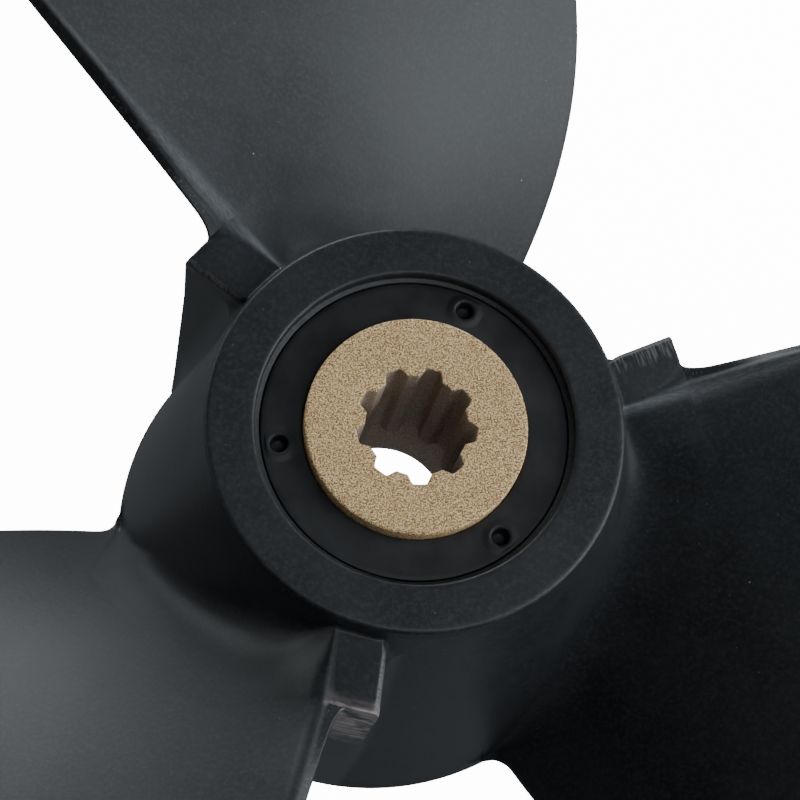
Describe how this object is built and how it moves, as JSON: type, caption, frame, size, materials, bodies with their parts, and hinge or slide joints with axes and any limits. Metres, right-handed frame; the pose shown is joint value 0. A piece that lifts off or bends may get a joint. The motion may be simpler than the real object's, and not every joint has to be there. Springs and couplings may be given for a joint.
{
  "type": "outboard motor propeller",
  "caption": "Small right-hand outboard motor propeller: a black casting of hub and blades, with a rubber bushing and a splined bronze sleeve.",
  "frame": {"origin": "centre of volume of the propeller, on the shaft's axis", "axes": "+Z along the shaft towards the aft end, where the nut bears; +Y through the middle of the first blade"},
  "size_m": [0.1716, 0.1682, 0.0537],
  "materials": {
    "satin_black_paint": "satin black paint on an aluminium casting, finely textured, with dressed edges at the blade roots",
    "black_rubber": "moulded black rubber, matte to satin",
    "sintered_bronze": "as-sintered bronze, sandy and dull, darker in the bore"
  },
  "bodies": {
    "root": {"hub_and_blades": "satin_black_paint", "rubber_bushing": "black_rubber", "splined_sleeve": "sintered_bronze"}
  },
  "joints": []
}
